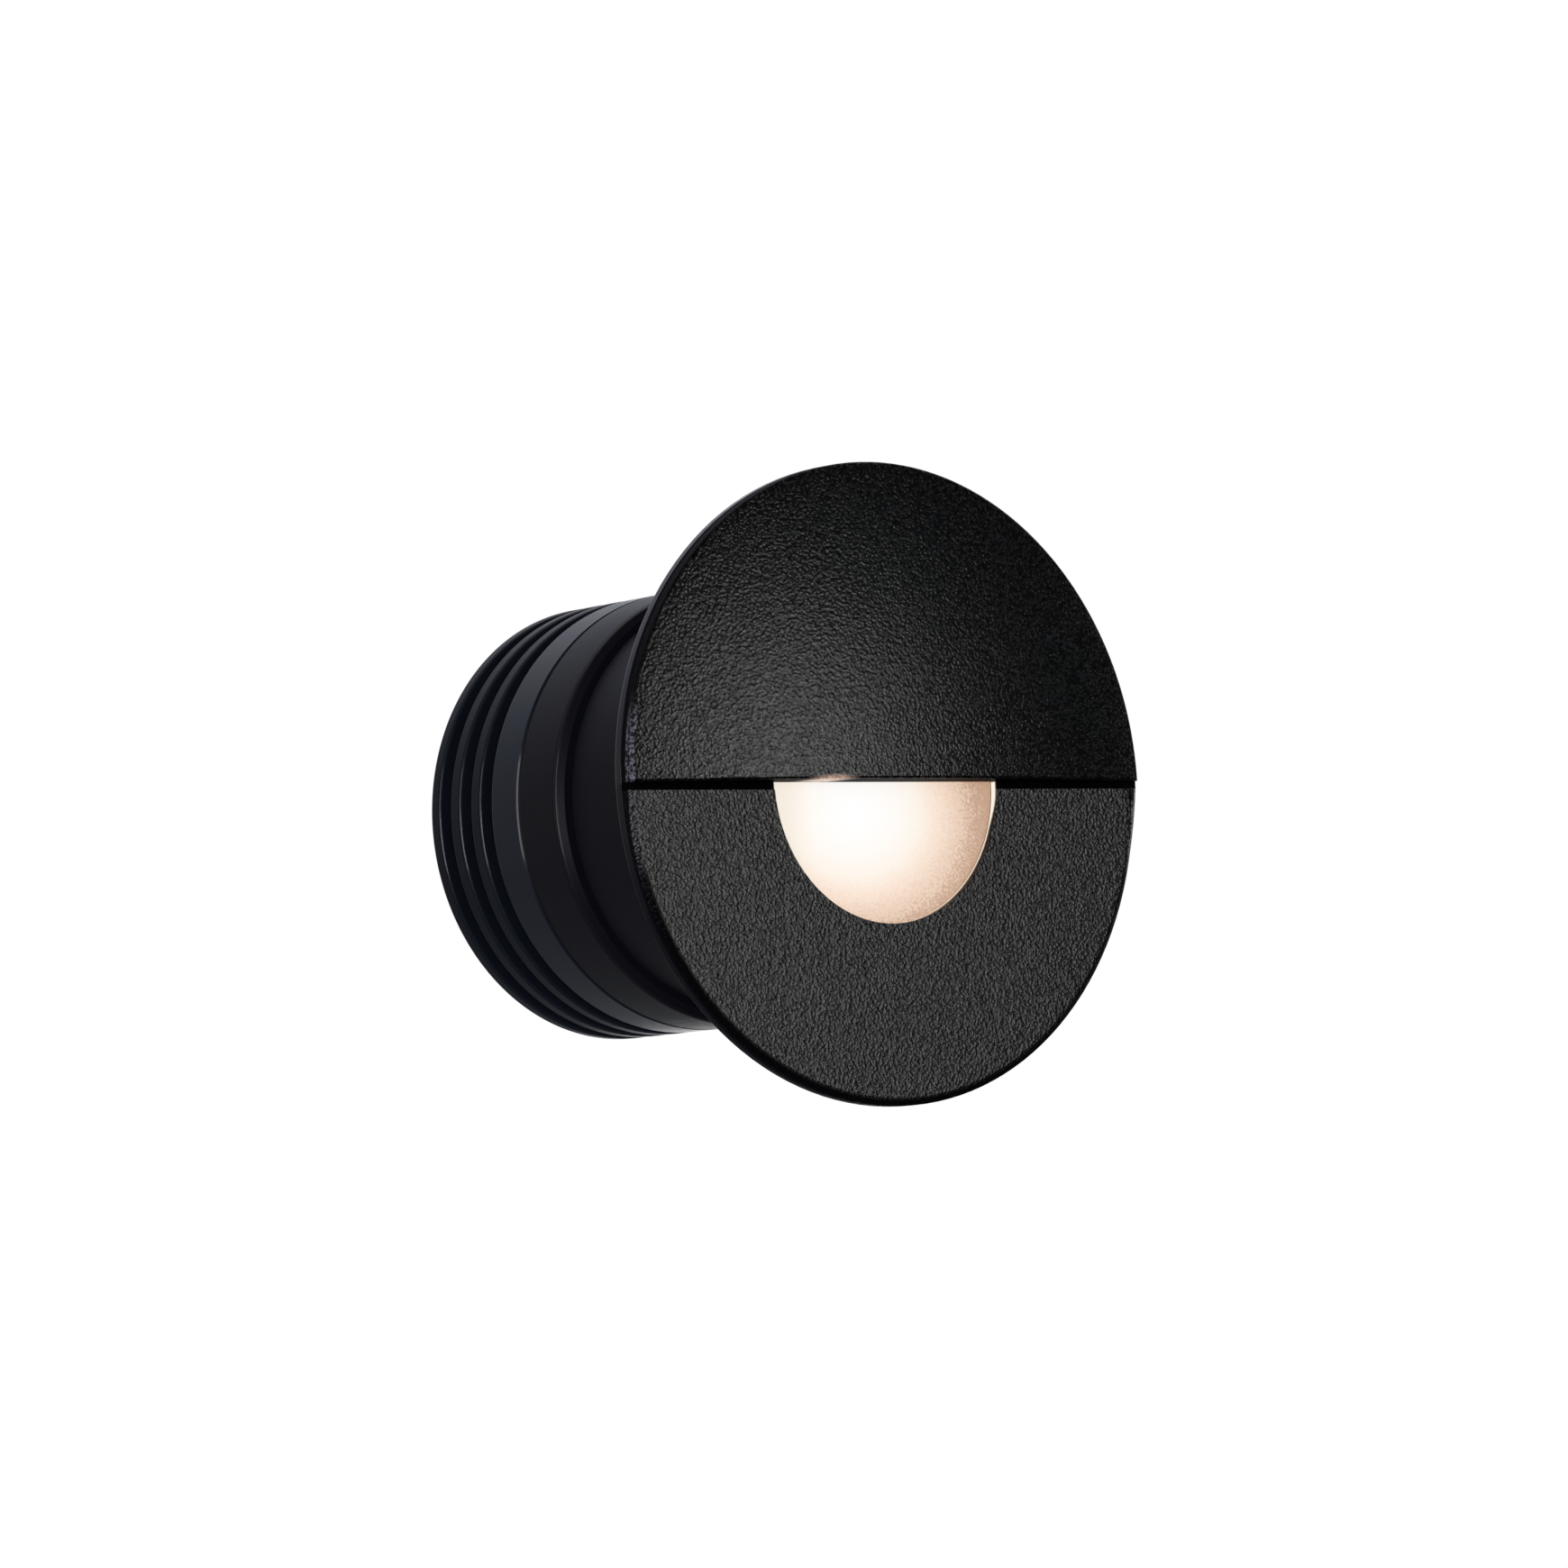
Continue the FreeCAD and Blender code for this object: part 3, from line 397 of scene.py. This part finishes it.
# Name, dark and light colour, roughness, size and depth of the grain in millimetres, and 1 for metal
finishes = {
    "textured_black": textured_powder_coat(),
    "satin_black": satin_black_coat(),
    "frosted_lens": frosted_lit_lens(),
    "black_rubber": plain("black_rubber", grey(0.012), grey(0.02), 0.6, 0.2, 0.01),
    "grey_silicone": plain("grey_silicone", (0.5, 0.51, 0.52), (0.58, 0.59, 0.6), 0.5, 0.3, 0.01),
    "plain_aluminium": plain("turned_aluminium", (0.72, 0.72, 0.73), (0.8, 0.8, 0.81), 0.28, 0.3, 0.005, 1),
    "white_reflector": plain("white_reflector", (0.86, 0.86, 0.84), (0.9, 0.9, 0.88), 0.22, 2, 0.003),
    "white_board": plain("white_board", (0.82, 0.82, 0.8), (0.88, 0.88, 0.86), 0.45, 0.5, 0.004),
    "green_board": plain("green_board", (0.02, 0.16, 0.06), (0.03, 0.22, 0.09), 0.35, 0.5, 0.004),
    "emitter_yellow": plain("emitter_yellow", (0.9, 0.72, 0.25), (0.95, 0.8, 0.32), 0.4, 0.2, 0.004),
    "steel": plain("zinc_plated_steel", (0.55, 0.55, 0.56), grey(0.66), 0.3, 0.3, 0.004, 1),
    "thermal_grey": plain("thermal_grey", (0.3, 0.32, 0.35), (0.38, 0.4, 0.43), 0.65, 0.3, 0.008),
    "red_insulation": plain("red_insulation", (0.5, 0.02, 0.015), (0.6, 0.03, 0.02), 0.4, 0.4, 0.004),
    "black_insulation": plain("black_insulation", grey(0.015), grey(0.025), 0.4, 0.4, 0.004),
    "package_black": plain("package_black", grey(0.02), grey(0.035), 0.6, 0.15, 0.008),
    "capacitor_sleeve": plain(
        "capacitor_sleeve", (0.01, 0.015, 0.035), (0.02, 0.03, 0.055), 0.25, 1.5, 0.004),
    "ferrite_grey": plain("ferrite_grey", (0.09, 0.09, 0.1), (0.13, 0.13, 0.14), 0.6, 0.2, 0.01),
    "terminal_green": plain("terminal_green", (0.02, 0.25, 0.08), (0.03, 0.32, 0.12), 0.35, 0.6, 0.004),
    "black_polyamide": plain("black_polyamide", grey(0.015), grey(0.025), 0.42, 0.25, 0.008),
}
for part in frame["record"]["subparts"]:
    mesh = nodes[part["node"]].data
    mesh.materials.clear()
    mesh.materials.append(finishes[part["material_slot"]])


def placed(name, made, material):
    """Turn a finished bmesh into an object of the scene."""
    mesh = bpy.data.meshes.new(name)
    made.to_mesh(mesh)
    made.free()
    mesh.materials.append(material)
    piece = bpy.data.objects.new(name, mesh)
    bpy.context.scene.collection.objects.link(piece)
    return piece


def web_section():
    """Radius and y of the corners of a web's section, which fills the slot from the plate to the hood."""
    edge_r = FLANGE_R - 0.03
    back, face = FLANGE_FRONT_Y - 0.02, COVER_FACE_Y + 0.01
    return ((RECESS_R, back), (edge_r, back), (edge_r, HOOD_RIM_Y + 0.41), (edge_r - 0.07, HOOD_RIM_Y + 0.31),
            (FLANGE_R - BEVEL_WIDTH, HOOD_RIM_Y + 0.08), (FLANGE_R - 0.75, HOOD_RIM_Y + 0.35),
            (FLANGE_R - 1, face), (RECESS_R, face))


def bead_section(lift):
    """Radius and y of the corners of the bead's section on the bevel, standing proud of it by lift."""
    inner_r, edge_r = FLANGE_R - 0.7, FLANGE_R - 0.03
    corners = ((inner_r, 0.15, 0), (edge_r, 0.55, 0), (edge_r, 0.36, 1), (edge_r - 0.07, 0.27, 1),
               (FLANGE_R - BEVEL_WIDTH, 0.02, 1), (inner_r + 0.08, 0.02, 0.5), (inner_r + 0.02, 0.03, 0),
               (inner_r, 0.05, 0))
    return [(r, COVER_FACE_Y + behind - share * lift) for r, behind, share in corners]


def slot_end_webs():
    """Thin webs that close the shadow slot at the cover's rim, and run out along its bevel below; where they
    fill the slot they are painted black as shade.
    """
    web_top, web_foot, web_steps = HOOD_LIP_Z + 0.04, SLOT_FOOT_Z - 0.05, 6
    bead_length, bead_height, bead_steps = 7, 0.5, 24
    web = web_section()
    rows = [(web_top + (web_foot - web_top) * step / web_steps, web) for step in range(web_steps + 1)]
    for step in range(bead_steps + 1):
        lift = bead_height * (1 - step / bead_steps) ** 1.5
        rows.append((web_foot - bead_length * step / bead_steps, bead_section(lift)))
    made = bmesh.new()
    for side in (-1, 1):
        rings = [[made.verts.new((side * math.sqrt(r * r - height * height) * MM, y * MM, height * MM))
                  for r, y in section] for height, section in rows]
        for upper, lower in zip(rings, rings[1:]):
            for index in range(len(upper)):
                corner = (index + 1) % len(upper)
                made.faces.new((lower[index], lower[corner], upper[corner], upper[index]))
        made.faces.new(rings[0])
        made.faces.new(rings[-1])
    bmesh.ops.recalc_face_normals(made, faces=made.faces)
    webs = placed("slot_end_webs", made, finishes["textured_black"])
    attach(webs, "cover")


def pale_floor():
    """Pale floor that keeps the light's shadow: white to the camera, and in gloss only behind the object."""
    floor_radius, floor_drop = 2.5, 0.3
    floor = Finish("pale_floor", specular=0.1)
    floor.paint(grey(0.8), 0.8)
    behind = floor.y.rising(0, 400)
    reflected = floor.reflected()
    seen = floor.ray("Camera").larger(0.4 * reflected * behind)
    floor.glow(floor.mix(seen, grey(0), grey(1)), 0.72)
    floor.dulled(reflected * (1 - 0.5 * behind), grey(0.03))
    made = bmesh.new()
    bmesh.ops.create_circle(made, cap_ends=True, segments=96, radius=floor_radius)
    plane = placed("pale_floor", made, floor.material)
    plane.location.z = -floor_drop


def white_backdrop():
    """White surroundings for the camera, and behind the object for gloss and glass; soft room light else."""
    world = bpy.data.worlds.new("white_backdrop")
    bpy.context.scene.world = world
    world.use_nodes = True
    room = Nodes(world.node_tree)
    direction = room.node("ShaderNodeTexCoord", out="Generated")
    across, along = (room.node("ShaderNodeSeparateXYZ", {}, {0: direction}, axis) for axis in "XY")
    behind = along.rising(-0.25, 0.05) * (0.4 + 0.6 * across.rising(-0.6, -0.15))
    reflected = room.reflected()
    level = {"Color": (0.88, 0.93, 1, 1), "Strength": 0.5 - 0.46 * reflected}
    dim = room.node("ShaderNodeBackground", {}, level)
    white = room.node("ShaderNodeBackground", {}, {"Color": (1, 1, 1, 1)})
    shown_white = reflected * behind + room.ray("Camera")
    both = room.node("ShaderNodeMixShader", {}, {0: shown_white, 1: dim, 2: white})
    room.node("ShaderNodeOutputWorld", {}, {"Surface": both})


def towards(azimuth, elevation):
    """Unit vector out to a direction in degrees: azimuth 0 is straight in front, and 90 is to the right."""
    a, e = math.radians(azimuth), math.radians(elevation)
    return Vector((math.sin(a) * math.cos(e), -math.cos(a) * math.cos(e), math.sin(e)))


def photo_camera():
    """Camera at the photograph's place: a 186 mm view from the front left, slightly below."""
    azimuth, elevation, roll = -37.55, -4.01, math.radians(-3.21)
    focal_px, side, rise, distance = 9000, 8.45, -0.08, 754.55
    back = towards(azimuth, elevation)
    level = Vector((math.cos(math.radians(azimuth)), math.sin(math.radians(azimuth)), 0))
    upright = back.cross(level)
    right = level * math.cos(roll) + upright * math.sin(roll)
    up = upright * math.cos(roll) - level * math.sin(roll)
    data = bpy.data.cameras.new("photo_camera")
    data.sensor_width = 36
    data.lens = focal_px / PHOTO_WIDTH * data.sensor_width
    camera = bpy.data.objects.new("photo_camera", data)
    place = (back * distance - right * side - up * rise) * MM
    turn = Matrix((right, up, back)).transposed().to_4x4()
    camera.matrix_world = Matrix.Translation(place) @ turn
    bpy.context.scene.collection.objects.link(camera)
    bpy.context.scene.camera = camera


def soft_light(name, azimuth, elevation, distance, width, height, radiance, colour):
    """Rectangular soft light that looks at the object from a direction; its sizes are in metres."""
    data = bpy.data.lights.new(name, "AREA")
    data.shape = "RECTANGLE"
    data.size, data.size_y = width, height
    data.energy = radiance * math.pi * width * height
    data.color = colour
    lamp = bpy.data.objects.new(name, data)
    back = towards(azimuth, elevation)
    lamp.location = back * distance
    lamp.rotation_mode = "QUATERNION"
    lamp.rotation_quaternion = back.to_track_quat("Z", "Y")
    bpy.context.scene.collection.objects.link(lamp)


photo_camera()
white_backdrop()
pale_floor()
slot_end_webs()
# Azimuth and elevation in degrees, distance, width and height in metres, radiance and colour
soft_light("front_softbox", 25, 3, 1.5, 0.5, 0.5, 8, (1, 0.99, 0.97))
soft_light("edge_glint", -37, -3, 1.2, 0.25, 0.4, 14, (0.88, 0.85, 1))
soft_light("tall_strip", -58, 4, 1.2, 0.3, 0.9, 5, (1, 1, 1))
soft_light("cool_sky", 178, 30, 1.4, 1.8, 0.8, 0.2, (0.05, 0.2, 1))
soft_light("rear_softbox", 145, 0, 1.5, 0.6, 0.6, 4, (1, 1, 1))
bpy.context.scene.view_settings.view_transform = "Standard"
